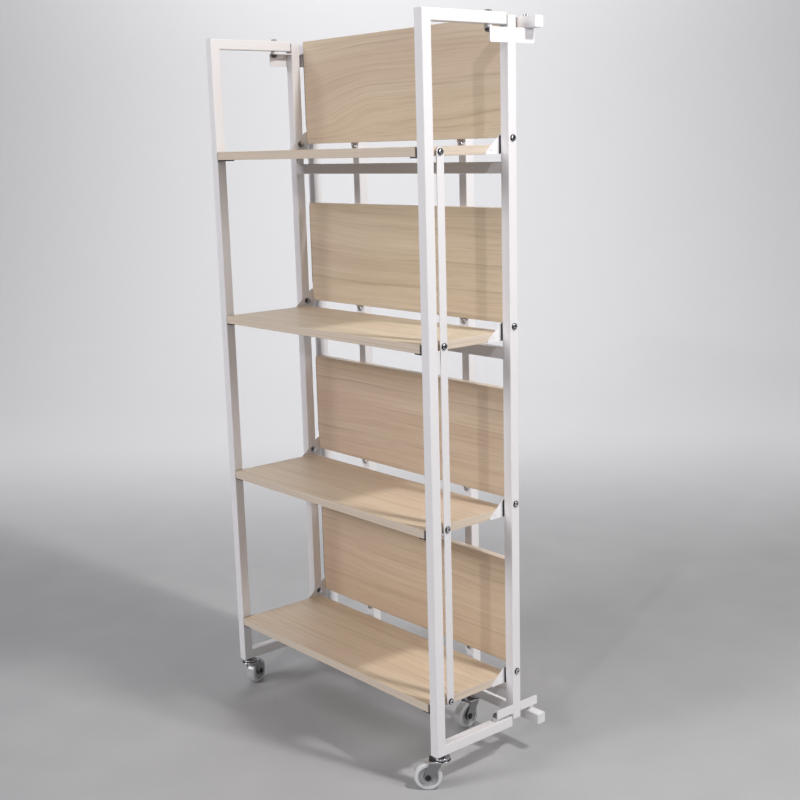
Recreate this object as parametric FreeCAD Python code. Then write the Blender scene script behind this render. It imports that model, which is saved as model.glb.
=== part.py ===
import FreeCAD, Part
import math
import os

V = FreeCAD.Vector
os.makedirs("parts", exist_ok=True)

# ---------------------------------------------------------------- dimensions
# Working frame: X right, Y back from the front posts' front faces, Z up from
# the underside of the front frames.  emit() moves it to the part's own origin,
# the bottom centre of its box, on the floor.
Y_MID = 114.10          # box centre in Y, working frame
FLOOR = 64.0            # floor below the front frames

T = 19.0                # square tube
WALL = 1.2
TUBE_R = 1.6            # tube corner
H = 1237.0              # front and rear frame height
X_OUT = 307.0           # outer face of the posts
X_IN = X_OUT - T
X_POST = X_OUT - T / 2
TAIL = 182.0            # rear end of the front frames, plug included
CAP = 1.2               # flange of a tube plug

Y_PIV = 149.6           # pivot of a front frame
Y_HP = 193.6            # centre of the hinge posts
HP_BOT, HP_TOP = 13.0, 1233.0
Y_REAR = 236.0          # centre of the rear frames
X_UP = 150.0            # centre of the rear uprights
X_STUB = 327.5          # outer ends of the rear frames
DROP = 4.0              # rear frames hang this much lower

BR_T = 2.0              # bracket sheet
BR_H, BR_LOW = 24.0, 17.5   # flange heights, top and bottom
BR_Y0, BR_Y1 = 144.0, 245.5
BR_TOP, BR_BOT = 1214.0, 24.0

SHELF_TOP = [1029.5, 717.5, 405.5, 93.5]
SHELF_X = 285.0
SHELF_Y0, SHELF_Y1 = -1.0, 195.0
BOARD = 15.0
EDGE = 0.8
PIV_UP = 10.5           # shelf pivot above the shelf's top
GUS_T = 1.3
RAIL_DOWN = 28.0        # rail top below the shelf's top
RAILS = [0, 1, 3]

PANEL_X = 285.0
PANEL_Y0 = 209.5
PANEL_UP = 11.0         # panel bottom above the shelf's top
PANEL_H = 196.0
TAB_T = 2.0

LINK_Y = 48.0
LINK_W = 15.0
LINK_T = 2.0
LINK_X0 = 287.9
LINK_DOWN = 8.0         # link bolts below the shelf's top

BOLT_R = 3.0
FIT = 0.05              # radial running clearance
HEAD_R = 5.6
HEAD_H = 3.0

WHEEL_R = 25.0
WHEEL_W = 18.0
TRAIL = 24.0
AXLE_Z = WHEEL_R - FLOOR
RACE_R = 15.2
# swivel directions at rest, degrees from +X
SWIVEL = {"front_right": -132.0, "front_left": 117.0,
          "rear_right": -88.0, "rear_left": -112.0}


# ---------------------------------------------------------------- helpers
def box(x0, x1, y0, y1, z0, z1):
    return Part.makeBox(x1 - x0, y1 - y0, z1 - z0, V(x0, y0, z0))


def along(shape, axis):
    out = []
    for e in shape.Edges:
        if len(e.Vertexes) < 2:
            continue
        d = e.Vertexes[1].Point.sub(e.Vertexes[0].Point)
        n = d.Length
        if n > 0 and abs(getattr(d, axis)) / n > 0.999:
            out.append(e)
    return out


def rounded(shape, r, axis=None):
    edges = shape.Edges if axis is None else along(shape, axis)
    return shape.makeFillet(r, edges)


def cyl(r, p0, p1):
    d = p1.sub(p0)
    return Part.makeCylinder(r, d.Length, p0, d)


def turned(shape, p, d):
    s = shape.copy()
    s.Placement = FreeCAD.Placement(p, FreeCAD.Rotation(V(0, 0, 1), d))
    return s


def prism(pts, v):
    w = Part.makePolygon([V(*p) for p in pts + pts[:1]])
    return Part.Face(w).extrude(v)


def tube(axis, lo, hi, a, b):
    """Square tube along an axis, a and b the centres on the other two."""
    h, i = T / 2, T / 2 - WALL
    if axis == "x":
        o = box(lo, hi, a - h, a + h, b - h, b + h)
        n = box(lo - 1, hi + 1, a - i, a + i, b - i, b + i)
    elif axis == "y":
        o = box(a - h, a + h, lo, hi, b - h, b + h)
        n = box(a - i, a + i, lo - 1, hi + 1, b - i, b + i)
    else:
        o = box(a - h, a + h, b - h, b + h, lo, hi)
        n = box(a - i, a + i, b - i, b + i, lo - 1, hi + 1)
    A = axis
    return rounded(o, TUBE_R, A).cut(rounded(n, TUBE_R - WALL, A))


def plug(p, d):
    """Tube plug: a flange from p outward along d and a stub inside."""
    h, i = T / 2, T / 2 - WALL - 0.2
    f = box(-h, h, -h, h, 0, CAP)
    f = rounded(f, TUBE_R, "z")
    top = [e for e in f.Edges if abs(e.BoundBox.ZMin - CAP) < 1e-6
           and abs(e.BoundBox.ZMax - CAP) < 1e-6]
    f = f.makeFillet(0.7, top)
    s = rounded(box(-i, i, -i, i, -9, 0.3), 0.5, "z")
    return turned(f.fuse(s).removeSplitter(), p, d)


def hexagon(af, h):
    r = af / math.sqrt(3)
    pts = [(r * math.cos(math.radians(60 * k)), r * math.sin(math.radians(60 * k)), 0) for k in range(6)]
    return prism(pts, V(0, 0, h))


def bolt(p, d, length, collar=None):
    """Button head bolt: head's underside at p, shank along d."""
    head = Part.makeCylinder(HEAD_R, HEAD_H, V(0, 0, -HEAD_H))
    rim = [e for e in head.Edges if abs(e.BoundBox.ZMax + HEAD_H) < 1e-6]
    head = head.makeFillet(1.9, rim)
    sock = hexagon(4.2, 1.7)
    sock.translate(V(0, 0, -HEAD_H - 0.01))
    s = head.cut(sock).fuse(Part.makeCylinder(BOLT_R, length))
    if collar:
        r, a, b = collar
        s = s.fuse(Part.makeCylinder(r, b - a, V(0, 0, a)))
    return turned(s.removeSplitter(), p, d)


def nut(p, d, h=5.0, af=10.0, r=BOLT_R):
    n = hexagon(af, h)
    c = Part.makeCone(af / math.sqrt(3) + h - 0.9, af / math.sqrt(3) - 0.9, h, V(0, 0, 0))
    n = n.common(c)
    n = n.cut(Part.makeCylinder(r + FIT, h + 2, V(0, 0, -1)))
    return turned(n, p, d)


def csk(p, d, length, r=1.7, hr=3.3, hh=1.5):
    """Flush screw: head's flat at p, shank along d."""
    s = Part.makeCone(hr, r, hh).fuse(Part.makeCylinder(r, length))
    slot = box(-hr, hr, -0.35, 0.35, -0.1, 0.6).fuse(box(-0.35, 0.35, -hr, hr, -0.1, 0.6))
    core = Part.makeCylinder(2.0, 0.7, V(0, 0, -0.1))
    return turned(s.cut(slot.common(core)).removeSplitter(), p, d)


def csk_hole(p, d, length, r=1.7, hr=3.3, hh=1.5):
    k = 0.05
    s = Part.makeCone(hr + k, r + k, hh + k).fuse(Part.makeCylinder(r + k, length + 0.3))
    return turned(s, p, d)


def mirrored(s):
    return s.mirror(V(0, 0, 0), V(1, 0, 0))


def emit(name, *shapes):
    solids = []
    for s in shapes:
        solids += s.Solids
    out = []
    for s in solids:
        t = s.copy()
        t.translate(V(0, -Y_MID, FLOOR))
        out.append(t)
    shape = out[0] if len(out) == 1 else Part.makeCompound(out)
    shape.exportStep("parts/%s.step" % name)


def pair(name, fn):
    """A left and right node from a right-hand shape or list of shapes."""
    s = fn if isinstance(fn, list) else [fn]
    emit("right_" + name, *s)
    emit("left_" + name, *[mirrored(k) for k in s])


def both(shapes):
    return shapes + [mirrored(k) for k in shapes]


Z_AXIS = V(0, 0, 1)
DOWN = V(0, 0, -1)

# ---------------------------------------------------------------- front frames
far = 60.0
post = tube("z", 0, H, X_POST, T / 2)
post = post.cut(prism([(X_IN - 5, -5, H + 5), (X_IN - 5, 40, H - 40), (X_IN - 5, 40, H + far), (X_IN - 5, -5, H + far)], V(T + 10, 0, 0)))
post = post.cut(prism([(X_IN - 5, -5, -5), (X_IN - 5, 40, 40), (X_IN - 5, 40, -far), (X_IN - 5, -5, -far)], V(T + 10, 0, 0)))

bar_end = TAIL - CAP
top_bar = tube("y", 0, bar_end, X_POST, H - T / 2)
top_bar = top_bar.cut(prism([(X_IN - 5, -5, H + 5), (X_IN - 5, 40, H - 40), (X_IN - 5, -5, H - 40)], V(T + 10, 0, 0)))
top_bar = top_bar.cut(cyl(BOLT_R + FIT, V(X_POST, Y_PIV, H - T - 5), V(X_POST, Y_PIV, H + 5)))
bot_bar = tube("y", 0, bar_end, X_POST, T / 2)
bot_bar = bot_bar.cut(prism([(X_IN - 5, -5, -5), (X_IN - 5, 40, 40), (X_IN - 5, -5, 40)], V(T + 10, 0, 0)))
bot_bar = bot_bar.cut(cyl(BOLT_R + FIT, V(X_POST, Y_PIV, -5), V(X_POST, Y_PIV, T + 5)))
STEM_R = 4.0
STEM_Y = 17.0
bot_bar = bot_bar.cut(cyl(STEM_R + FIT, V(X_POST, STEM_Y, -5), V(X_POST, STEM_Y, 4)))

pair("front_post", post)
pair("top_bar", top_bar)
pair("bottom_bar", bot_bar)
pair("tail_plugs", [plug(V(X_POST, bar_end, H - T / 2), V(0, 1, 0)),
                    plug(V(X_POST, bar_end, T / 2), V(0, 1, 0))])

REST_T, REST_W, REST_GAP = 2.0, 19.0, 0.3
rests = []
for zt in SHELF_TOP:
    z = zt - BOARD - REST_GAP
    leg = rounded(box(X_IN - REST_W, X_IN, 0.6, 27, z - REST_T, z), 3.0, "z")
    leg = box(X_IN - 6, X_IN, 0.6, 27, z - REST_T, z).fuse(leg)
    up = box(X_IN - REST_T, X_IN, 0.6, 27, z - REST_T, z + BOARD - 0.4)
    rests.append(leg.fuse(up).removeSplitter())
pair("shelf_rests", rests)

# ---------------------------------------------------------------- hinge posts and rails
hp = tube("z", HP_BOT + CAP, HP_TOP - CAP, X_POST, Y_HP)
for zt in SHELF_TOP:
    z = zt + PIV_UP
    hp = hp.cut(cyl(BOLT_R + FIT, V(X_IN - 5, Y_HP, z), V(X_OUT + 5, Y_HP, z)))
pair("hinge_post", hp)
back_plugs = both([plug(V(X_POST, Y_HP, HP_TOP - CAP), Z_AXIS),
                   plug(V(X_POST, Y_HP, HP_BOT + CAP), DOWN)])
for k, name in zip(RAILS, ["upper_rail", "middle_rail", "lower_rail"]):
    emit(name, tube("x", -X_IN, X_IN, Y_HP, SHELF_TOP[k] - RAIL_DOWN - T / 2))

# ---------------------------------------------------------------- brackets
BR_IN = X_IN + 0.5


def bracket(top):
    """Front and rear angle pieces, flush with the hinge post's outer face."""
    z0, z1 = (BR_TOP - BR_H, BR_TOP) if top else (BR_BOT, BR_BOT + BR_LOW)
    zf, zc = (z0, z1) if top else (z1, z0)
    t0, t1 = (z1 - BR_T, z1) if top else (z0, z0 + BR_T)
    out = []
    for y0, y1, end, yb in ((BR_Y0, Y_HP - T / 2, BR_Y0, Y_PIV), (Y_HP + T / 2, BR_Y1, BR_Y1, Y_REAR)):
        fl = box(X_OUT - BR_T, X_OUT, y0, y1, z0, z1)
        fl = fl.makeFillet(2.5, [e for e in along(fl, "x") if abs(e.BoundBox.ZMin - zf) < 1e-6
                                 and abs(e.Vertexes[0].Y - end) < 1e-6])
        tg = box(BR_IN, X_OUT, y0, y1, t0, t1)
        tg = tg.makeFillet(4.0, [e for e in along(tg, "z") if abs(e.Vertexes[0].X - BR_IN) < 1e-6
                                 and abs(e.Vertexes[0].Y - end) < 1e-6])
        pl = fl.fuse(tg).removeSplitter()
        pl = pl.cut(cyl(BOLT_R + FIT, V(X_POST, yb, zc - 10), V(X_POST, yb, zc + 10)))
        # rounded bend along the outer edge
        pl = pl.makeFillet(1.6, [e for e in along(pl, "y") if abs(e.Vertexes[0].X - X_OUT) < 1e-6
                                 and abs(e.Vertexes[0].Z - zc) < 1e-6])
        out.append(pl)
    return out


# the tube behind the left hinge post stands between the tongues
clear = box(-X_OUT - 1, -BR_IN + 1, Y_REAR - T / 2 - 0.2, BR_Y1 + 1, BR_BOT + BR_T, BR_TOP - BR_T)
for top, name in ((True, "top_brackets"), (False, "bottom_brackets")):
    right = bracket(top)
    emit(name, *(right + [mirrored(k).cut(clear) for k in right]))

# ---------------------------------------------------------------- rear frames
RT = H - DROP            # top of the rear frames
RB = -DROP               # bottom of the rear frames
xi = X_UP - T / 2
up = tube("z", RB, RT, X_UP, Y_REAR)
y0 = Y_REAR - T
up = up.cut(prism([(xi - 5, y0, RT + 5), (xi + 40, y0, RT - 40), (xi + 40, y0, RT + far), (xi - 5, y0, RT + far)], V(0, 2 * T, 0)))
up = up.cut(prism([(xi - 5, y0, RB - 5), (xi + 40, y0, RB + 40), (xi + 40, y0, RB - far), (xi - 5, y0, RB - far)], V(0, 2 * T, 0)))
rail_end = X_STUB - CAP
rt = tube("x", xi, rail_end, Y_REAR, RT - T / 2)
rt = rt.cut(prism([(xi - 5, y0, RT + 5), (xi + 40, y0, RT - 40), (xi - 5, y0, RT - 40)], V(0, 2 * T, 0)))
rt = rt.cut(cyl(BOLT_R + FIT, V(X_POST, Y_REAR, RT - T - 5), V(X_POST, Y_REAR, RT + 5)))
rb = tube("x", xi, rail_end, Y_REAR, RB + T / 2)
rb = rb.cut(prism([(xi - 5, y0, RB - 5), (xi + 40, y0, RB + 40), (xi - 5, y0, RB + 40)], V(0, 2 * T, 0)))
rb = rb.cut(cyl(BOLT_R + FIT, V(X_POST, Y_REAR, RB - 5), V(X_POST, Y_REAR, RB + T + 5)))
rb = rb.cut(cyl(STEM_R + FIT, V(X_UP, Y_REAR, RB - 5), V(X_UP, Y_REAR, RB + 4)))

tabs, tab_bolts, panel_holes = [], [], []
for zt in SHELF_TOP:
    pb = zt + PANEL_UP
    ty0 = PANEL_Y0 + BOARD
    t = rounded(box(X_UP - 11, X_UP + 11, ty0, ty0 + TAB_T, pb - 18, pb + 40), 4.0, "y")
    zb = pb - 8.5
    t = t.cut(cyl(BOLT_R + FIT, V(X_UP, ty0 - 5, zb), V(X_UP, ty0 + 5, zb)))
    up = up.cut(cyl(BOLT_R + FIT, V(X_UP, Y_REAR - T, zb), V(X_UP, Y_REAR - 2, zb)))
    tab_bolts.append(bolt(V(X_UP, ty0, zb), V(0, 1, 0), 9.0))
    for dz in (12.0, 30.0):
        p = V(X_UP, ty0 + TAB_T, pb + dz)
        t = t.cut(csk_hole(p, V(0, -1, 0), 12.0))
        tab_bolts.append(csk(p, V(0, -1, 0), 12.0))
        panel_holes.append(csk_hole(p, V(0, -1, 0), 12.0))
    tabs.append(t)
pair("rear_upright", up)
pair("rear_top_rail", rt)
pair("rear_bottom_rail", rb)
back_plugs += both([plug(V(rail_end, Y_REAR, RT - T / 2), V(1, 0, 0)),
                    plug(V(rail_end, Y_REAR, RB + T / 2), V(1, 0, 0))])
emit("back_plugs", *back_plugs)
emit("panel_tabs", *both(tabs))
emit("panel_fixings", *both(tab_bolts))
emit("left_rear_post", tube("z", BR_BOT + BR_T, BR_TOP - BR_T, -X_POST, Y_REAR))

# ---------------------------------------------------------------- panels
for n, zt in enumerate(SHELF_TOP):
    pb = zt + PANEL_UP
    p = rounded(box(-PANEL_X, PANEL_X, PANEL_Y0, PANEL_Y0 + BOARD, pb, pb + PANEL_H), EDGE)
    for c in both(panel_holes[2 * n:2 * n + 2]):
        p = p.cut(c)
    emit("back_panel_%d" % (n + 1), p)

# ---------------------------------------------------------------- frame bolts
GAP = 0.2
NUT_H = 5.0
fb = [bolt(V(X_POST, Y_PIV, H + GAP), DOWN, H + GAP - (BR_TOP - BR_T - NUT_H - 1.5)),
      nut(V(X_POST, Y_PIV, BR_TOP - BR_T), DOWN),
      bolt(V(X_POST, Y_PIV, -GAP), Z_AXIS, BR_BOT + BR_T + NUT_H + 1.5 + GAP),
      nut(V(X_POST, Y_PIV, BR_BOT + BR_T), Z_AXIS)]
emit("frame_pivot_bolts", *both(fb))
rbolts = [bolt(V(X_POST, Y_REAR, RT), DOWN, RT - (BR_TOP - BR_T - NUT_H - 1.5)),
          nut(V(X_POST, Y_REAR, BR_TOP - BR_T), DOWN),
          bolt(V(X_POST, Y_REAR, RB), Z_AXIS, BR_BOT + BR_T + NUT_H + 1.5 - RB),
          nut(V(X_POST, Y_REAR, BR_BOT + BR_T), Z_AXIS)]
emit("rear_frame_bolts", *both(rbolts))


def ring(ro, y, z0, z1):
    s = cyl(ro, V(X_POST, y, z0), V(X_POST, y, z1))
    s = s.makeFillet(0.5, [e for e in s.Edges if e.Curve.TypeId == "Part::GeomCircle"])
    return s.cut(cyl(BOLT_R + FIT, V(X_POST, y, z0 - 1), V(X_POST, y, z1 + 1)))


emit("spacers", *both([ring(6.5, Y_PIV, BR_TOP, H - T - GAP), ring(6.5, Y_PIV, T + GAP, BR_BOT),
                       ring(6.5, Y_REAR, RB + T, BR_BOT)]))

# ---------------------------------------------------------------- shelves
pivots = []
for n, zt in enumerate(SHELF_TOP):
    zp = zt + PIV_UP
    b = rounded(box(-SHELF_X, SHELF_X, SHELF_Y0, SHELF_Y1, zt - BOARD, zt), EDGE)
    g = prism([(SHELF_X, 151.5, zt - BOARD), (SHELF_X, 151.5, zt - 11.5), (SHELF_X, 206.0, zt + 33.5),
               (SHELF_X, 213.0, zt + 33.5), (SHELF_X, 213.0, zt - BOARD)], V(GUS_T, 0, 0))
    g = g.makeFillet(2.5, [e for e in along(g, "x")
                           if not (abs(e.Vertexes[0].Y - 151.5) < 1e-6 and abs(e.Vertexes[0].Z - zt + BOARD) < 1e-6)
                           and not (abs(e.Vertexes[0].Y - 151.5) < 1e-6)])
    g = g.cut(cyl(BOLT_R + FIT, V(SHELF_X - 5, Y_HP, zp), V(SHELF_X + 5, Y_HP, zp)))
    screws = []
    for y in (164.0, 188.0):
        p = V(SHELF_X + GUS_T, y, zt - 8.5)
        g = g.cut(csk_hole(p, V(-1, 0, 0), 22.0))
        h = csk_hole(p, V(-1, 0, 0), 22.0)
        b = b.cut(h).cut(mirrored(h))
        screws.append(csk(p, V(-1, 0, 0), 22.0))
    zl = zt - LINK_DOWN
    b = b.cut(cyl(BOLT_R + FIT, V(SHELF_X - 24, LINK_Y, zl), V(SHELF_X + 5, LINK_Y, zl)))
    emit("shelf_%d_board" % (n + 1), b)
    emit("shelf_%d_end_plates" % (n + 1), *both([g] + screws))
    x_head = LINK_X0 + LINK_T + 0.3
    emit("shelf_%d_link_bolt" % (n + 1),
         bolt(V(x_head, LINK_Y, zl), V(-1, 0, 0), x_head - SHELF_X + 23,
              collar=(5.0, x_head - LINK_X0 + 0.2, x_head - SHELF_X)))
    pivots += [bolt(V(X_OUT, Y_HP, zp), V(-1, 0, 0), X_OUT - (SHELF_X - 7.0)),
               nut(V(SHELF_X - 0.3, Y_HP, zp), V(-1, 0, 0))]
emit("shelf_pivot_bolts", *both(pivots))

# plain pads on the hinge posts, which the end plates turn against
PAD_T = X_IN - SHELF_X - GUS_T - 0.1
pads = []
for zt in SHELF_TOP:
    k = box(X_IN - PAD_T, X_IN, Y_HP - T / 2 - 1.2, Y_HP + T / 2 - 1.0, zt - BOARD + 0.5, zt + 14.5)
    k = rounded(k, 0.4, "z")
    pads.append(k.cut(cyl(BOLT_R + FIT, V(X_IN - 10, Y_HP, zt + PIV_UP), V(X_IN + 5, Y_HP, zt + PIV_UP))))
emit("slide_pads", *both(pads))

lz0 = SHELF_TOP[-1] - LINK_DOWN
lz1 = SHELF_TOP[0] - LINK_DOWN
hw = LINK_W / 2
link = box(LINK_X0, LINK_X0 + LINK_T, LINK_Y - hw, LINK_Y + hw, lz0, lz1)
for z in (lz0, lz1):
    link = link.fuse(cyl(hw, V(LINK_X0, LINK_Y, z), V(LINK_X0 + LINK_T, LINK_Y, z)))
link = link.removeSplitter()
for n, zt in enumerate(SHELF_TOP):
    r = BOLT_R + (FIT if n == 0 else 0.3)
    link = link.cut(cyl(r, V(LINK_X0 - 1, LINK_Y, zt - LINK_DOWN), V(LINK_X0 + LINK_T + 1, LINK_Y, zt - LINK_DOWN)))
emit("link_bar", link)

# ---------------------------------------------------------------- casters
RACE_TOP = -4.0
RACE_MID = -6.8
CROWN_TOP = -8.4
CROWN_BOT = -11.6
RACE_R2 = 16.2


def rims(shape):
    return [e for e in shape.Edges if e.Curve.TypeId == "Part::GeomCircle"]


def stem(top, jam, dz):
    s = cyl(RACE_R, V(0, 0, RACE_MID + dz), V(0, 0, RACE_TOP + dz))
    s = s.makeFillet(0.9, rims(s))
    s = s.fuse(cyl(STEM_R, V(0, 0, CROWN_BOT + dz + 0.4), V(0, 0, top + 13)))
    out = [s.removeSplitter()]
    if jam:
        out.append(nut(V(0, 0, RACE_TOP), Z_AXIS, h=top - RACE_TOP, af=13.0, r=STEM_R))
    out.append(nut(V(0, 0, top + WALL), Z_AXIS, h=6.0, af=13.0, r=STEM_R))
    return out


def fork(dz):
    c = cyl(RACE_R2, V(0, 0, CROWN_BOT + dz), V(0, 0, CROWN_TOP + dz))
    c = c.makeFillet(0.9, rims(c))
    inner = WHEEL_W / 2 + 1.2
    neck = box(0, 22.0, -inner - 2.0, inner + 2.0, CROWN_BOT + dz, CROWN_TOP + dz - 0.6)
    c = c.fuse(rounded(neck, 2.5, "z"))
    zl = CROWN_BOT + dz + 1.4
    pts = [(-3.0, zl), (21.0, zl), (TRAIL + 6.75, AXLE_Z + 3.28), (TRAIL, AXLE_Z), (TRAIL - 6.15, AXLE_Z - 4.29)]
    for s in (1, -1):
        ya = inner if s > 0 else -inner - 2.0
        leg = prism([(x, ya, z) for x, z in pts], V(0, 2.0, 0))
        leg = leg.fuse(cyl(7.5, V(TRAIL, ya, AXLE_Z), V(TRAIL, ya + 2.0, AXLE_Z)))
        c = c.fuse(leg)
    c = c.removeSplitter()
    c = c.cut(cyl(STEM_R + FIT, V(0, 0, -30), V(0, 0, 0)))
    c = c.cut(cyl(BOLT_R + FIT, V(TRAIL, -30, AXLE_Z), V(TRAIL, 30, AXLE_Z)))
    yo = inner + 2.0
    ax = cyl(BOLT_R, V(TRAIL, -yo - 1.6, AXLE_Z), V(TRAIL, yo + 1.6, AXLE_Z))
    for s in (1, -1):
        hd = cyl(4.8, V(TRAIL, s * yo, AXLE_Z), V(TRAIL, s * (yo + 1.8), AXLE_Z))
        hd = hd.makeFillet(0.9, [e for e in rims(hd) if abs(abs(e.BoundBox.YMin) - yo - 1.8) < 1e-5])
        ax = ax.fuse(hd)
    return [c, ax.removeSplitter()]


def wheel():
    w = WHEEL_W / 2
    t = Part.makeCylinder(WHEEL_R, WHEEL_W, V(0, 0, -w))
    t = t.makeFillet(3.5, [e for e in t.Edges if e.Curve.TypeId == "Part::GeomCircle"])
    for z0, z1 in ((w - 3.0, w + 1), (-w - 1, -w + 3.0)):
        t = t.cut(Part.makeCylinder(18.0, z1 - z0, V(0, 0, z0)).cut(Part.makeCylinder(8.0, z1 - z0, V(0, 0, z0))))
    t = t.fuse(Part.makeCylinder(8.0, WHEEL_W + 1.2, V(0, 0, -w - 0.6))).removeSplitter()
    t = t.cut(Part.makeCylinder(BOLT_R + FIT, 40, V(0, 0, -20)))
    t.rotate(V(0, 0, 0), V(1, 0, 0), 90)
    t.translate(V(TRAIL, 0, AXLE_Z))
    return [t]


def placed(shapes, x, y, angle):
    out = []
    for s in shapes:
        k = s.copy()
        k.rotate(V(0, 0, 0), Z_AXIS, angle)
        k.translate(V(x, y, 0))
        out.append(k)
    return out


places = {"front_right": (X_POST, STEM_Y), "front_left": (-X_POST, STEM_Y),
          "rear_right": (X_UP, Y_REAR), "rear_left": (-X_UP, Y_REAR)}
BACK_DZ = RB - RACE_TOP     # rear races sit straight under their rails
for name, (x, y) in places.items():
    a = SWIVEL[name]
    dz = BACK_DZ if name.startswith("rear") else 0.0
    emit("%s_caster_fork" % name, *placed(fork(dz), x, y, a))
    emit("%s_caster_wheel" % name, *placed(wheel(), x, y, a))
for side in ("right", "left"):
    x, y = places["front_" + side]
    emit("%s_caster_stem" % side, *placed(stem(0.0, True, 0.0), x, y, 0))
rear = []
for name in ("rear_right", "rear_left"):
    x, y = places[name]
    rear += placed(stem(RB, False, BACK_DZ), x, y, 0)
emit("rear_caster_stems", *rear)
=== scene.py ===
import bpy
import bmesh
import math
from mathutils import Matrix, Vector


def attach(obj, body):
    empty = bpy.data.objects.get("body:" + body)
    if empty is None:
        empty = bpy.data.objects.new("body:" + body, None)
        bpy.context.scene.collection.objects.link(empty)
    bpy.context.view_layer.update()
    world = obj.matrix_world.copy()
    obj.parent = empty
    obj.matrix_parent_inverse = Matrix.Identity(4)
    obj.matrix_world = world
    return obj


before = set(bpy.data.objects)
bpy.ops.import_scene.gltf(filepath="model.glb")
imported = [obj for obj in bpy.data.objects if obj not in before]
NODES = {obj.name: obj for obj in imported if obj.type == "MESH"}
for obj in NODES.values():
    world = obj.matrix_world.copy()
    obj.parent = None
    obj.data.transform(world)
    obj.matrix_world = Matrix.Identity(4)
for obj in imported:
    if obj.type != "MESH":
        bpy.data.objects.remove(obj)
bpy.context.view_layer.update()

YM, FL = 114.10, 64.0       # the CAD's working frame to the part's frame, mm


def P(x, y, z):
    return Vector((x / 1000.0, (y - YM) / 1000.0, (z + FL) / 1000.0))


TOPS = [1029.5, 717.5, 405.5, 93.5]


# ---------------------------------------------------------------- shader tools
class Mat:
    """A node material with short calls for the usual nodes."""

    def __init__(self, name):
        self.m = bpy.data.materials.new(name)
        self.m.use_nodes = True
        self.t = self.m.node_tree
        self.t.nodes.clear()
        self.out = self.t.nodes.new("ShaderNodeOutputMaterial")
        self.b = self.t.nodes.new("ShaderNodeBsdfPrincipled")
        self.link(self.b.outputs[0], self.out.inputs["Surface"])
        self.tc = self.t.nodes.new("ShaderNodeTexCoord")

    def link(self, a, b):
        self.t.links.new(a, b)

    def put(self, sock, v):
        if isinstance(v, bpy.types.NodeSocket):
            self.link(v, sock)
        else:
            sock.default_value = v

    def mapping(self, scale=(1, 1, 1), loc=(0, 0, 0), rot=(0, 0, 0), vec=None):
        n = self.t.nodes.new("ShaderNodeMapping")
        self.link(vec or self.tc.outputs["Object"], n.inputs["Vector"])
        n.inputs["Scale"].default_value = scale
        n.inputs["Location"].default_value = loc
        n.inputs["Rotation"].default_value = rot
        return n.outputs[0]

    def noise(self, vec, scale=1.0, detail=2.0, rough=0.5, dist=0.0):
        n = self.t.nodes.new("ShaderNodeTexNoise")
        self.link(vec, n.inputs["Vector"])
        n.inputs["Scale"].default_value = scale
        n.inputs["Detail"].default_value = detail
        n.inputs["Roughness"].default_value = rough
        n.inputs["Distortion"].default_value = dist
        return n.outputs["Fac"]

    def voronoi(self, vec, scale, feature="F1"):
        n = self.t.nodes.new("ShaderNodeTexVoronoi")
        n.feature = feature
        self.link(vec, n.inputs["Vector"])
        n.inputs["Scale"].default_value = scale
        return n.outputs["Distance"]

    def math(self, op, a, b=None, c=None, clamp=False):
        n = self.t.nodes.new("ShaderNodeMath")
        n.operation = op
        n.use_clamp = clamp
        for i, v in enumerate((a, b, c)):
            if v is not None:
                self.put(n.inputs[i], v)
        return n.outputs[0]

    def ramp(self, fac, stops):
        n = self.t.nodes.new("ShaderNodeValToRGB")
        self.link(fac, n.inputs[0])
        e = n.color_ramp.elements
        while len(e) < len(stops):
            e.new(0.5)
        for k, (p, c) in enumerate(stops):
            e[k].position = p
            e[k].color = c if len(c) == 4 else (*c, 1.0)
        return n.outputs[0]

    def mix(self, fac, a, b, kind="MIX"):
        n = self.t.nodes.new("ShaderNodeMix")
        n.data_type = "RGBA"
        n.blend_type = kind
        self.put(n.inputs[0], fac)
        for i, v in ((6, a), (7, b)):
            if isinstance(v, bpy.types.NodeSocket):
                self.link(v, n.inputs[i])
            else:
                n.inputs[i].default_value = v if len(v) == 4 else (*v, 1.0)
        return n.outputs[2]

    def range(self, v, a, b, c, d, smooth=False):
        n = self.t.nodes.new("ShaderNodeMapRange")
        if smooth:
            n.interpolation_type = "SMOOTHSTEP"
        self.link(v, n.inputs[0])
        for i, k in zip((1, 2, 3, 4), (a, b, c, d)):
            n.inputs[i].default_value = k
        return n.outputs[0]

    def bump(self, h, strength=0.2, dist=0.001, normal=None):
        n = self.t.nodes.new("ShaderNodeBump")
        n.inputs["Strength"].default_value = strength
        n.inputs["Distance"].default_value = dist
        self.link(h, n.inputs["Height"])
        if normal is not None:
            self.link(normal, n.inputs["Normal"])
        return n.outputs[0]

    def edge(self, radius=0.0012):
        """About 1 along sharp edges and 0 on flats."""
        bv = self.t.nodes.new("ShaderNodeBevel")
        bv.samples = 6
        bv.inputs["Radius"].default_value = radius
        g = self.t.nodes.new("ShaderNodeNewGeometry")
        d = self.t.nodes.new("ShaderNodeVectorMath")
        d.operation = "DOT_PRODUCT"
        self.link(bv.outputs[0], d.inputs[0])
        self.link(g.outputs["Normal"], d.inputs[1])
        return self.math("SUBTRACT", 1.0, d.outputs["Value"], clamp=True)

    def xyz(self, vec=None):
        n = self.t.nodes.new("ShaderNodeSeparateXYZ")
        self.link(vec or self.tc.outputs["Object"], n.inputs[0])
        return n.outputs[0], n.outputs[1], n.outputs[2]

    def vec(self, x, y, z):
        n = self.t.nodes.new("ShaderNodeCombineXYZ")
        for i, v in enumerate((x, y, z)):
            self.put(n.inputs[i], v)
        return n.outputs[0]


def srgb(r, g, b):
    def f(c):
        c /= 255.0
        return c / 12.92 if c <= 0.04045 else ((c + 0.055) / 1.055) ** 2.4
    return (f(r), f(g), f(b), 1.0)


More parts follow.
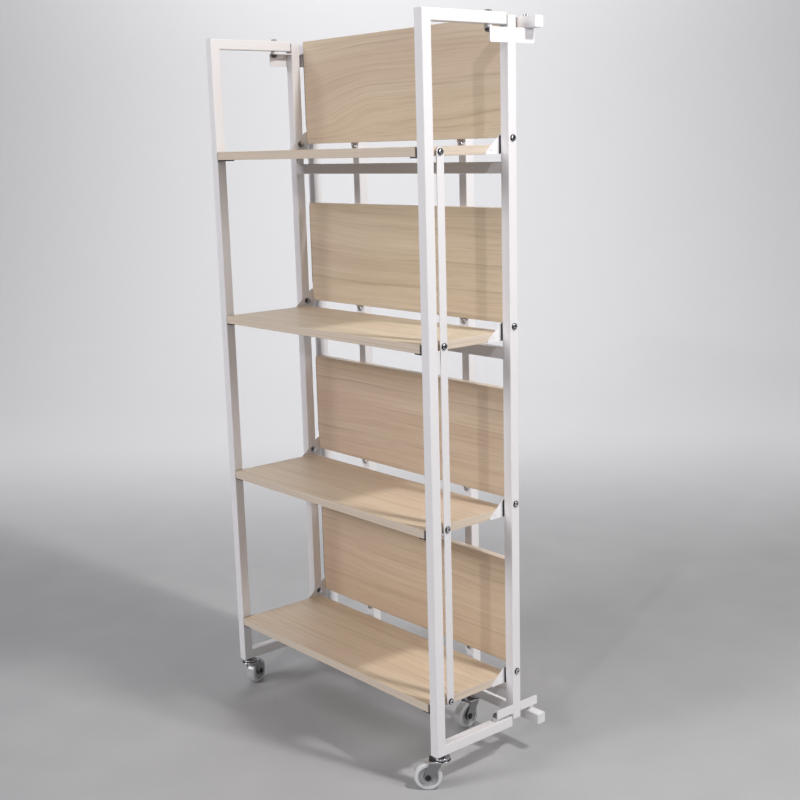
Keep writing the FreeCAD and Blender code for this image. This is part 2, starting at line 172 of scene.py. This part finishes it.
# ---------------------------------------------------------------- materials
def powder_coat(name, tone=(0.85, 0.832, 0.845)):
    m = Mat(name)
    big = m.noise(m.mapping((3, 3, 3)), 2.0, 3.0)
    dust = m.noise(m.mapping((1, 1, 1), loc=(3, 1, 7)), 60.0, 5.0, 0.65)
    col = m.mix(m.range(big, 0.3, 0.7, 0.0, 1.0), (*[c * 0.975 for c in tone], 1), (*tone, 1))
    col = m.mix(m.range(dust, 0.62, 0.8, 0.0, 0.22), col, (0.62, 0.60, 0.585, 1))
    spots = m.noise(m.mapping((1, 1, 1), loc=(9, 4, 2)), 420.0, 2.0)
    wear = m.math("MULTIPLY", m.range(m.edge(0.0011), 0.02, 0.16, 0.0, 1.0), m.range(spots, 0.52, 0.66, 0.0, 1.0), clamp=True)
    col = m.mix(m.math("MULTIPLY", wear, 0.28), col, (0.42, 0.415, 0.41, 1))
    m.link(col, m.b.inputs["Base Color"])
    peel = m.noise(m.mapping((1, 1, 1)), 900.0, 2.0, 0.5)
    m.link(m.range(m.noise(m.mapping((1, 1, 1)), 45.0, 4.0), 0.3, 0.7, 0.34, 0.47), m.b.inputs["Roughness"])
    m.link(m.bump(peel, 0.10, 0.0004), m.b.inputs["Normal"])
    m.b.inputs["Coat Weight"].default_value = 0.15
    m.b.inputs["Coat Roughness"].default_value = 0.22
    return m.m


def wood(name, across, seed, flame=None, wander=1.0, tint=(1.0, 1.0, 1.0)):
    """Wood-print laminate. Grain along X, across is 'y' on a shelf or 'z' on a panel.
    flame = (height of the lift, its centre across, its half width) bends the lines up from the left end to the middle
    near one height only, wander makes all lines more or less wavy, tint shifts the board's tone a little, partly the
    board's own tone and partly painted light and shade."""
    m = Mat(name)
    x, y, z = m.xyz()
    a, t = (y, z) if across == "y" else (z, y)
    base = m.vec(x, a, t)
    slow = m.noise(m.mapping((1.5, 3.2, 0.2), loc=(seed * 2.9, seed * 1.3, 0), vec=base), 1.0, 1.0, 0.4)
    wave = m.noise(m.mapping((6.0, 9.0, 0.2), loc=(seed * 0.9, seed * 4.3, 0), vec=base), 1.0, 1.0, 0.4)
    bend = m.math("ADD", m.math("MULTIPLY", slow, 0.075 * wander), m.math("MULTIPLY", wave, 0.020 * wander))
    inside = None
    if flame:
        lift, centre, half = flame
        off = m.math("DIVIDE", m.math("SUBTRACT", a, centre), half)
        bell = m.math("POWER", 2.718, m.math("MULTIPLY", m.math("MULTIPLY", off, off), -1.0))
        bend = m.math("ADD", bend, m.math("MULTIPLY", bell, m.range(x, -0.31, -0.06, 0.0, lift, smooth=True)))
        inside = m.math("MULTIPLY", bell, m.range(x, -0.27, -0.02, 1.0, 0.0, smooth=True))
    w = m.math("SUBTRACT", a, bend)
    flow = m.vec(x, w, t)
    fibre = m.noise(m.mapping((13, 560, 240), loc=(seed * 3.1, seed * 5.7, seed), vec=flow), 1.0, 3.0, 0.6)
    fine = m.noise(m.mapping((4.2, 230, 120), loc=(seed * 1.1, seed * 3.7, seed), vec=flow), 1.0, 4.0, 0.62)
    streak = m.noise(m.mapping((1.7, 84, 50), loc=(seed * 1.7, seed * 2.3, 0), vec=flow), 1.0, 3.0, 0.55)
    broad = m.noise(m.mapping((0.9, 13, 8), loc=(seed * 4.1, seed * 0.7, 0), vec=flow), 1.0, 2.0, 0.5)
    keep = m.noise(m.mapping((2.2, 11, 0.5), loc=(seed * 6.3, seed, 0), vec=base), 1.0, 2.0)
    # growth lines: a few strong ones far apart, faint ones between them
    late = [(0.0, (0, 0, 0)), (0.76, (0.03, 0.03, 0.03)), (0.92, (0.36, 0.36, 0.36)), (0.965, (1, 1, 1)), (1.0, (0, 0, 0))]
    far_lines = m.ramp(m.math("FRACT", m.math("ADD", m.math("MULTIPLY", w, 19.0), m.math("MULTIPLY", streak, 0.40))), late)
    near_lines = m.ramp(m.math("FRACT", m.math("ADD", m.math("MULTIPLY", w, 112.0), m.math("MULTIPLY", streak, 1.3))), late)
    far_lines = m.math("MULTIPLY", far_lines, m.range(keep, 0.36, 0.60, 0.10, 1.0))
    near_lines = m.math("MULTIPLY", near_lines, m.range(keep, 0.40, 0.66, 1.0, 0.25))

    # tint: partly the board's own tone, partly painted light and shade
    def tone(r, g, b):
        return tuple(0.85 * c * k for c, k in zip(srgb(r, g, b)[:3], tint)) + (1.0,)

    light, mid = tone(233, 218, 194), tone(224, 205, 179)
    col = m.mix(m.range(broad, 0.34, 0.68, 0.0, 1.0), light, mid)
    pink = m.noise(m.mapping((2.0, 9, 1), loc=(seed * 8.3, seed * 3.3, 0), vec=flow), 1.0, 2.0, 0.5, 0.4)
    col = m.mix(m.range(pink, 0.48, 0.70, 0.0, 0.55), col, tone(221, 196, 176))
    col = m.mix(m.range(streak, 0.48, 0.74, 0.0, 0.40), col, tone(201, 178, 151))
    col = m.mix(m.range(fine, 0.52, 0.76, 0.0, 0.52), col, tone(190, 166, 138))
    col = m.mix(m.range(fine, 0.24, 0.44, 0.38, 0.0), col, tone(244, 233, 212))
    col = m.mix(m.range(fibre, 0.55, 0.75, 0.0, 0.30), col, tone(178, 153, 126))
    col = m.mix(m.math("MULTIPLY", near_lines, 0.24), col, tone(178, 153, 127))
    col = m.mix(m.math("MULTIPLY", far_lines, 0.40), col, tone(160, 134, 110))
    if inside is not None:
        col = m.mix(m.math("MULTIPLY", inside, 0.30), col, tone(214, 186, 168))
    # the edge band: paler and greyer than the faces, on every side but the two broad ones
    n = m.xyz(m.tc.outputs["Normal"])[2 if across == "y" else 1]
    side = m.math("LESS_THAN", m.math("ABSOLUTE", n), 0.5)
    tape = m.noise(m.mapping((1.5, 8, 330), loc=(seed, seed * 2.2, seed * 3.3), vec=base), 1.0, 3.0, 0.6)
    band = m.mix(m.range(tape, 0.3, 0.7, 0.0, 1.0), srgb(222, 208, 191), srgb(207, 190, 172))
    band = m.mix(m.range(tape, 0.58, 0.75, 0.0, 0.35), band, srgb(192, 173, 153))
    col = m.mix(side, col, band)
    # a fine darker line where the band meets the face
    col = m.mix(m.range(m.edge(0.0009), 0.03, 0.2, 0.0, 0.26), col, srgb(165, 143, 118))
    m.link(col, m.b.inputs["Base Color"])
    m.link(m.range(fine, 0.3, 0.75, 0.38, 0.52), m.b.inputs["Roughness"])
    pores = m.math("ADD", m.math("MULTIPLY", fine, 0.7), m.math("MULTIPLY", far_lines, -0.3))
    pores = m.math("ADD", pores, m.math("MULTIPLY", fibre, 0.4))
    m.link(m.bump(pores, 0.15, 0.0005), m.b.inputs["Normal"])
    m.b.inputs["Specular IOR Level"].default_value = 0.42
    return m.m


def metal(name, tone, rough=(0.16, 0.30), scratch=0.06, dirt=0.25):
    m = Mat(name)
    n1 = m.noise(m.mapping((1, 1, 1)), 160.0, 4.0, 0.6)
    n2 = m.noise(m.mapping((1, 1, 1), loc=(5, 2, 1)), 900.0, 2.0)
    col = m.mix(m.range(n1, 0.5, 0.78, 0.0, dirt), (*tone, 1), (*[c * 0.45 for c in tone], 1))
    m.link(col, m.b.inputs["Base Color"])
    m.b.inputs["Metallic"].default_value = 1.0
    m.link(m.range(n1, 0.3, 0.7, rough[0], rough[1]), m.b.inputs["Roughness"])
    m.link(m.bump(n2, scratch, 0.0003), m.b.inputs["Normal"])
    return m.m


def off_axis(m, centre, axis):
    """Distance from a line through centre along axis."""
    sub = m.t.nodes.new("ShaderNodeVectorMath")
    sub.operation = "SUBTRACT"
    m.link(m.tc.outputs["Object"], sub.inputs[0])
    sub.inputs[1].default_value = centre
    cr = m.t.nodes.new("ShaderNodeVectorMath")
    cr.operation = "CROSS_PRODUCT"
    m.link(sub.outputs[0], cr.inputs[0])
    cr.inputs[1].default_value = axis
    ln = m.t.nodes.new("ShaderNodeVectorMath")
    ln.operation = "LENGTH"
    m.link(cr.outputs[0], ln.inputs[0])
    return ln.outputs["Value"]


def fork_metal(name, centre, axis):
    """Caster fork with painted light: the lower race bright and the legs darker as painted reflections, upward faces
    darkened as painted shade of the gap above the race, sharp edges lightened as painted highlights; a dark axle
    head.
    """
    m = Mat(name)
    n1 = m.noise(m.mapping((1, 1, 1)), 160.0, 4.0, 0.6)
    n2 = m.noise(m.mapping((1, 1, 1), loc=(5, 2, 1)), 900.0, 2.0)
    # painted reflection: above about 52 mm the race band is bright, below it the legs are dark as if mirroring a dark
    # floor
    race_band_painted_reflection = m.range(m.xyz()[2], 0.0505, 0.0527, 0.0, 1.0, smooth=True)
    col = m.mix(race_band_painted_reflection, (0.34, 0.34, 0.355, 1), (0.68, 0.68, 0.70, 1))
    # painted shade: faces turned upwards are darkened for the shaded gap between the races
    up = m.range(m.xyz(m.tc.outputs["Normal"])[2], 0.6, 0.9, 0.0, 0.85)
    col = m.mix(up, col, (0.09, 0.09, 0.095, 1))
    # painted highlight: sharp edges lightened
    col = m.mix(m.range(m.edge(0.0008), 0.03, 0.25, 0.0, 0.7), col, (0.80, 0.80, 0.81, 1))
    col = m.mix(m.range(off_axis(m, centre, axis), 0.0052, 0.0058, 1.0, 0.0), col, (0.06, 0.06, 0.065, 1))
    col = m.mix(m.range(n1, 0.5, 0.78, 0.0, 0.25), col, (0.20, 0.20, 0.20, 1))
    m.link(col, m.b.inputs["Base Color"])
    m.b.inputs["Metallic"].default_value = 1.0
    m.link(m.range(n1, 0.3, 0.7, 0.14, 0.28), m.b.inputs["Roughness"])
    m.link(m.bump(n2, 0.06, 0.0003), m.b.inputs["Normal"])
    return m.m


def plastic(name, tone, rough=(0.38, 0.52)):
    m = Mat(name)
    n1 = m.noise(m.mapping((1, 1, 1)), 90.0, 4.0, 0.6)
    n2 = m.noise(m.mapping((1, 1, 1), loc=(2, 5, 1)), 1400.0, 2.0)
    col = m.mix(m.range(n1, 0.4, 0.8, 0.0, 0.5), (*tone, 1), (*[c * 0.86 for c in tone], 1))
    m.link(col, m.b.inputs["Base Color"])
    m.link(m.range(n1, 0.3, 0.7, rough[0], rough[1]), m.b.inputs["Roughness"])
    m.link(m.bump(n2, 0.12, 0.0003), m.b.inputs["Normal"])
    return m.m


def bolt_head_painted_reflection(name):
    """Bolts along X with painted reflection: faces turned along X carry a light crown as a painted highlight, the rim
    around it is darkened as a painted reflection of a dark floor.
    """
    m = Mat(name)
    n1 = m.noise(m.mapping((1, 1, 1)), 260.0, 4.0, 0.6)
    nx = m.math("ABSOLUTE", m.xyz(m.tc.outputs["Normal"])[0])
    # painted reflection: tone follows how far a face turns along X, dark at the rim, bright at the crown
    tone = m.ramp(nx, [(0.0, (0.05, 0.05, 0.055)), (0.62, (0.045, 0.045, 0.05)), (0.90, (0.34, 0.34, 0.35)), (0.985, (0.78, 0.78, 0.79))])
    tone = m.mix(m.range(n1, 0.5, 0.8, 0.0, 0.3), tone, (0.12, 0.12, 0.12, 1))
    m.link(tone, m.b.inputs["Base Color"])
    m.b.inputs["Metallic"].default_value = 1.0
    m.link(m.range(n1, 0.3, 0.7, 0.13, 0.30), m.b.inputs["Roughness"])
    m.link(m.bump(m.noise(m.mapping((1, 1, 1)), 1500.0, 2.0), 0.05, 0.0002), m.b.inputs["Normal"])
    return m.m


def black_coat(name, tone=(0.026, 0.026, 0.028), rough=(0.34, 0.50)):
    m = Mat(name)
    n1 = m.noise(m.mapping((1, 1, 1)), 120.0, 4.0, 0.6)
    spots = m.noise(m.mapping((1, 1, 1), loc=(4, 7, 2)), 500.0, 2.0)
    col = m.mix(m.range(n1, 0.45, 0.8, 0.0, 0.5), (*tone, 1), (*[c * 1.9 for c in tone], 1))
    wear = m.math("MULTIPLY", m.range(m.edge(0.0008), 0.02, 0.2, 0.0, 1.0), m.range(spots, 0.5, 0.66, 0.0, 1.0), clamp=True)
    col = m.mix(m.math("MULTIPLY", wear, 0.5), col, (0.16, 0.16, 0.165, 1))
    m.link(col, m.b.inputs["Base Color"])
    m.link(m.range(n1, 0.3, 0.7, rough[0], rough[1]), m.b.inputs["Roughness"])
    m.link(m.bump(m.noise(m.mapping((1, 1, 1)), 1100.0, 2.0), 0.12, 0.0003), m.b.inputs["Normal"])
    return m.m


def clear_wheel(name, centre, axis):
    """Grey see-through wheel: pale tyre, darker web, dark hub, told apart by the distance from the axle."""
    m = Mat(name)
    r = off_axis(m, centre, axis)
    n1 = m.noise(m.mapping((1, 1, 1)), 120.0, 4.0, 0.6)
    n2 = m.noise(m.mapping((1, 1, 1), loc=(3, 8, 1)), 420.0, 3.0, 0.6)
    col = m.ramp(m.range(r, 0.0, 0.026, 0.0, 1.0),
                 [(0.0, (0.035, 0.035, 0.038)), (0.30, (0.045, 0.045, 0.048)), (0.345, (0.52, 0.53, 0.545)), (0.66, (0.60, 0.61, 0.625)),
                  (0.72, (0.90, 0.905, 0.92)), (0.93, (0.88, 0.885, 0.90)), (1.0, (0.70, 0.70, 0.71))])
    col = m.mix(m.range(n1, 0.45, 0.8, 0.0, 0.25), col, (0.42, 0.42, 0.42, 1))
    grime = m.math("MULTIPLY", m.range(r, 0.0226, 0.0248, 0.0, 1.0), m.range(n2, 0.46, 0.66, 0.0, 0.4))
    col = m.mix(grime, col, (0.32, 0.315, 0.31, 1))
    m.link(col, m.b.inputs["Base Color"])
    m.link(m.range(n1, 0.3, 0.7, 0.12, 0.26), m.b.inputs["Roughness"])
    m.link(m.bump(n2, 0.10, 0.0003), m.b.inputs["Normal"])
    m.b.inputs["Transmission Weight"].default_value = 0.28
    m.b.inputs["IOR"].default_value = 1.48
    m.b.inputs["Coat Weight"].default_value = 0.35
    m.b.inputs["Coat Roughness"].default_value = 0.08
    return m.m


WHITE = powder_coat("white_powder_coat")
PLASTIC = plastic("white_plug_plastic", (0.82, 0.82, 0.82))
CHROME = metal("caster_chrome", (0.66, 0.66, 0.68), (0.08, 0.20))
ZINC = metal("zinc_plate", (0.70, 0.70, 0.71), (0.18, 0.34))
PIVOT = metal("pivot_steel", (0.26, 0.26, 0.27), (0.22, 0.38))
BOLT_PAINTED_REFLECTION = bolt_head_painted_reflection("bright_bolt")
BLACK = black_coat("black_coat")
BLACK_PL = black_coat("black_plastic", (0.022, 0.022, 0.023), (0.45, 0.6))

SWIVEL = {"front_right": -132.0, "front_left": 117.0, "rear_right": -88.0, "rear_left": -112.0}
TRAIL = 24.0
CASTER = {"front_right": (297.5, 17.0), "front_left": (-297.5, 17.0), "rear_right": (150.0, 236.0), "rear_left": (-150.0, 236.0)}
FLAME = {1: (0.046, 1.190, 0.070), 2: (-0.012, 0.90, 0.05), 3: (0.012, 0.58, 0.05), 4: (-0.014, 0.27, 0.05)}
# boards differ a little in tone: partly their own tone, partly painted light and shade, with boards in shade lifted
# and the lower ones warmer
PANEL_TINT_AND_PAINTED_LIGHT = {1: (0.98, 0.965, 0.96), 2: (1.07, 1.06, 1.04), 3: (1.02, 0.965, 0.95), 4: (1.06, 0.985, 0.94)}
SHELF_TINT_AND_PAINTED_LIGHT = {1: (1.0, 1.0, 1.0), 2: (1.06, 1.07, 1.08), 3: (1.0, 0.97, 0.96), 4: (1.0, 0.965, 0.94)}

for name, ob in NODES.items():
    k = name.replace("_caster_wheel", "").replace("_caster_fork", "")
    axle = None
    if k in CASTER:
        g = math.radians(SWIVEL[k])
        axle = (P(CASTER[k][0] + TRAIL * math.cos(g), CASTER[k][1] + TRAIL * math.sin(g), -39.0), (-math.sin(g), math.cos(g), 0.0))
    if name.endswith("_board"):
        k = int(name.split("_")[1])
        mat = wood("wood_" + name, "y", 1.37 * k + 0.4, wander=0.42, tint=SHELF_TINT_AND_PAINTED_LIGHT[k])
    elif name.startswith("back_panel"):
        k = int(name.split("_")[2])
        mat = wood("wood_" + name, "z", 2.11 * k + 7.9, FLAME[k], 0.45, PANEL_TINT_AND_PAINTED_LIGHT[k])
    elif name.endswith("link_bolt") or name == "shelf_pivot_bolts":
        mat = BOLT_PAINTED_REFLECTION
    elif name == "frame_pivot_bolts":
        mat = PIVOT
    elif name in ("rear_frame_bolts", "panel_fixings"):
        mat = ZINC
    elif "plugs" in name or name == "spacers":
        mat = PLASTIC
    # black slide pads: painted shade, a dark piece for the shaded slit between the end plates and the hinge posts
    elif name == "slide_pads":
        mat = BLACK_PL
    elif name.endswith("shelf_rests"):
        mat = BLACK
    elif name.endswith("_wheel"):
        mat = clear_wheel("wheel_" + k, *axle)
    elif name.endswith("_fork"):
        mat = fork_metal("fork_" + k, *axle)
    elif "stem" in name:
        mat = CHROME
    else:
        mat = WHITE
    ob.data.materials.clear()
    ob.data.materials.append(mat)


# ---------------------------------------------------------------- small pieces
def piece(name, bm, body, mat, smooth=True):
    bmesh.ops.recalc_face_normals(bm, faces=bm.faces)
    me = bpy.data.meshes.new(name)
    bm.to_mesh(me)
    bm.free()
    if smooth:
        for f in me.polygons:
            f.use_smooth = True
    o = bpy.data.objects.new(name, me)
    me.materials.append(mat)
    bpy.context.scene.collection.objects.link(o)
    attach(o, body)
    return o


def bead(bm, p0, p1, u, v, leg=2.0, pitch=1.9, sink=0.25):
    """One fillet weld from p0 to p1 (working mm) in the corner between the faces that u and v run along."""
    p0, p1, u, v = Vector(p0), Vector(p1), Vector(u), Vector(v)
    length = (p1 - p0).length
    along = (p1 - p0) / length
    count = max(8, int(length / pitch * 5))
    rings = []
    for k in range(count + 1):
        s = k / count
        size = leg * (1.0 + 0.10 * math.cos(2 * math.pi * s * length / pitch) + 0.05 * math.sin(9.0 * s + p0.x))
        size *= min(1.0, 0.35 + 5.0 * min(s, 1.0 - s))
        c = p0 + along * (length * s)
        row = [c - (u + v) * sink, c + u * size - v * sink]
        for j in range(6):
            g = 0.5 * math.pi * j / 5
            f = 0.80 + 0.20 * abs(math.cos(2.0 * g))
            row.append(c + (u * math.cos(g) + v * math.sin(g)) * size * f)
        row.append(c + v * size - u * sink)
        rings.append([bm.verts.new(P(*q)) for q in row])
    n = len(rings[0])
    for a, b in zip(rings, rings[1:]):
        for j in range(n):
            bm.faces.new((a[j], a[(j + 1) % n], b[(j + 1) % n], b[j]))
    bm.faces.new(rings[0])
    bm.faces.new(list(reversed(rings[-1])))


X, Y, Z = Vector((1, 0, 0)), Vector((0, 1, 0)), Vector((0, 0, 1))
bm = bmesh.new()
for k in (0, 1, 3):                         # cross rails to the hinge posts
    top = TOPS[k] - 28.0
    for sx in (1, -1):
        bead(bm, (sx * 288, 186.4, top), (sx * 288, 200.8, top), X * -sx, Z)
        bead(bm, (sx * 288, 186.4, top - 19), (sx * 288, 200.8, top - 19), X * -sx, -Z)
for sx in (1, -1):                          # brackets to the hinge posts
    for y, v in ((184.1, 1), (203.1, -1)):
        bead(bm, (sx * 305.5, y, 1191.0), (sx * 305.5, y, 1213.0), X * sx, Y * v, 1.6, 1.9, 0.1)
        bead(bm, (sx * 305.5, y, 25.0), (sx * 305.5, y, 41.0), X * sx, Y * v, 1.6, 1.9, 0.1)
        bead(bm, (sx * 291.0, y, 1214.0), (sx * 303.0, y, 1214.0), Y * -v, Z, 1.5)
        bead(bm, (sx * 291.0, y, 24.0), (sx * 303.0, y, 24.0), Y * -v, -Z, 1.5)
    # inside corners of the rear frames
    bead(bm, (sx * 159.5, 229.0, 1214.0), (sx * 159.5, 243.0, 1214.0), X * sx, -Z)
    bead(bm, (sx * 159.5, 229.0, 15.0), (sx * 159.5, 243.0, 15.0), X * sx, Z)
piece("weld_beads_back", bm, "back_frame", WHITE)
for side, sx in (("left", -1), ("right", 1)):
    bm = bmesh.new()
    bead(bm, (sx * 290.4, 19, 1218), (sx * 304.6, 19, 1218), Y, -Z)
    bead(bm, (sx * 290.4, 19, 19), (sx * 304.6, 19, 19), Y, Z)
    piece("weld_beads_" + side, bm, side + "_frame", WHITE)


def lathe(bm, cx, cy, prof, steps=48):
    """A closed ring about the upright axis at (cx, cy): prof is a loop of (radius, z), working mm."""
    rings = []
    for k in range(steps):
        g = 2 * math.pi * k / steps
        rings.append([bm.verts.new(P(cx + r * math.cos(g), cy + r * math.sin(g), z)) for r, z in prof])
    n = len(prof)
    for k in range(steps):
        a, b = rings[k], rings[(k + 1) % steps]
        for j in range(n):
            bm.faces.new((a[j], a[(j + 1) % n], b[(j + 1) % n], b[j]))


for k, (cx, cy) in CASTER.items():          # dark ring in the gap of each ball race: painted shade for the shaded groove
    bm = bmesh.new()
    lathe(bm, cx, cy, [(10.0, -6.85), (13.8, -6.85), (14.3, -7.2), (14.3, -8.0), (13.9, -8.45), (10.0, -8.45)])
    piece("race_seal_" + k, bm, k + "_fork", BLACK_PL)

bm = bmesh.new()                            # black edge strips on the panels' left ends
for i, zt in enumerate(TOPS):
    z0, z1 = zt + 43.0, zt + 11.0 + (170.0 if i == 0 else 192.0)
    rings = []
    for k in range(41):
        z = z0 + (z1 - z0) * k / 40
        wob = 0.05 * math.sin(9.1 * k + zt) + 0.05 * math.sin(2.3 * k)
        pull = 0.5 if k in (0, 40) else 0.0
        prof = [(-284.8, 210.5 + pull), (-286.3 + pull, 210.2 + pull + wob), (-287.0 + pull, 210.8 + pull), (-287.15 + pull + wob, 212.8),
                (-287.0 + pull, 214.8 - pull), (-286.3 + pull, 215.4 - pull + wob), (-284.8, 215.1 - pull)]
        rings.append([bm.verts.new(P(qx, qy, z)) for qx, qy in prof])
    for a, b in zip(rings, rings[1:]):
        for j in range(7):
            bm.faces.new((a[j], a[(j + 1) % 7], b[(j + 1) % 7], b[j]))
    bm.faces.new(rings[0])
    bm.faces.new(list(reversed(rings[-1])))
piece("edge_strips_left", bm, "back_frame", BLACK_PL)

# ---------------------------------------------------------------- stage
bm = bmesh.new()
prof = [(-6.0, 0.0), (3.2, 0.0)]
R = 1.6
for k in range(1, 13):
    t = math.radians(90.0 * k / 12)
    prof.append((3.2 + R * math.sin(t), R - R * math.cos(t)))
prof.append((3.2 + R, 7.0))
d = Vector((-math.sin(math.radians(50)), math.cos(math.radians(50)), 0))
s = Vector((d.y, -d.x, 0))
rows = []
for a, z in prof:
    rows.append([bm.verts.new(d * a + s * w + Vector((0, 0, z))) for w in (-9.0, 9.0)])
for r0, r1 in zip(rows, rows[1:]):
    bm.faces.new((r0[0], r0[1], r1[1], r1[0]))
me = bpy.data.meshes.new("floor")
bmesh.ops.recalc_face_normals(bm, faces=bm.faces)
bm.to_mesh(me)
bm.free()
for p in me.polygons:
    p.use_smooth = True
floor = bpy.data.objects.new("floor", me)
bpy.context.scene.collection.objects.link(floor)
fm = Mat("pale_floor")
fn = fm.noise(fm.mapping((1, 1, 1)), 6.0, 4.0)
fx, fy, fz = fm.xyz()
far = fm.math("ADD", fm.math("MULTIPLY", fx, d.x), fm.math("MULTIPLY", fy, d.y))
fh = fm.range(far, 0.8, 2.5, 0.0, 1.0, smooth=True)
fc = fm.mix(fm.range(fn, 0.3, 0.7, 0.0, 1.0), (0.425, 0.425, 0.432, 1), (0.455, 0.455, 0.46, 1))
fm.link(fm.mix(fh, fc, (0.77, 0.77, 0.785, 1)), fm.b.inputs["Base Color"])
fm.b.inputs["Roughness"].default_value = 0.85
floor.data.materials.append(fm.m)

# ---------------------------------------------------------------- light
def area(name, pos, target, size, power, colour=(1, 1, 1), spread=180.0):
    l = bpy.data.lights.new(name, "AREA")
    l.shape = "DISK"
    l.size = size
    l.energy = power
    l.color = colour
    l.spread = math.radians(spread)
    o = bpy.data.objects.new(name, l)
    o.location = pos
    o.rotation_euler = (Vector(target) - Vector(pos)).to_track_quat("-Z", "Y").to_euler()
    bpy.context.scene.collection.objects.link(o)
    return o


# a lamp high on the right and a little behind, a high broad light in front, a smaller one to its right, and a wash on the backdrop
area("lamp_right", (1.75, 0.307, 2.57), (0.0, 0.0, 0.65), 0.22, 35.5, (1.0, 0.985, 0.97))
area("soft_front", (-1.00, -4.90, 3.13), (0.0, 0.0, 1.15), 2.20, 29.0, (0.985, 0.975, 1.0), 80.0)
area("front_right", (2.39, -4.96, 3.00), (0.0, 0.0, 0.75), 0.16, 44.0, (0.985, 0.975, 1.0))
area("soft_above", (0.30, -1.50, 3.15), (0.0, 0.0, 0.75), 1.20, 10.0, (1.0, 0.985, 0.98))
area("soft_right", (2.60, 0.75, 1.50), (0.0, 0.0, 0.70), 0.90, 25.0, (1.0, 0.985, 0.985))
area("wall_wash", d * 2.6 + Vector((0, 0, 3.6)), d * 4.8 + Vector((0, 0, 1.2)), 2.4, 84.0)
world = bpy.data.worlds.new("studio")
bpy.context.scene.world = world
world.use_nodes = True
bg = world.node_tree.nodes["Background"]
bg.inputs["Color"].default_value = (0.93, 0.94, 1.0, 1.0)
bg.inputs["Strength"].default_value = 0.095

# ---------------------------------------------------------------- camera
yaw, pitch, roll = math.radians(50.008), math.radians(-12.284), math.radians(-1.577)
fwd = Vector((-math.sin(yaw) * math.cos(pitch), math.cos(yaw) * math.cos(pitch), math.sin(pitch)))
right = Vector((math.cos(yaw), math.sin(yaw), 0.0))
up = right.cross(fwd)
r2 = right * math.cos(roll) + up * math.sin(roll)
u2 = -right * math.sin(roll) + up * math.cos(roll)
cam = bpy.data.cameras.new("camera")
cam.sensor_width = 36.0
cam.sensor_fit = "HORIZONTAL"
cam.lens = 1267.42 * 36.0 / 800.0
cam.shift_x = (400.0 - 398.53) / 800.0
cam.shift_y = (421.82 - 400.0) / 800.0
cam.clip_start = 0.05
cam.clip_end = 100.0
co = bpy.data.objects.new("camera", cam)
mw = Matrix((r2, u2, -fwd)).transposed().to_4x4()
mw.translation = P(1810.6, -1329.1, 1032.1)
co.matrix_world = mw
bpy.context.scene.collection.objects.link(co)
bpy.context.scene.camera = co
bpy.context.scene.view_settings.view_transform = "Standard"

# ---------------------------------------------------------------- finish
bpy.context.view_layer.update()
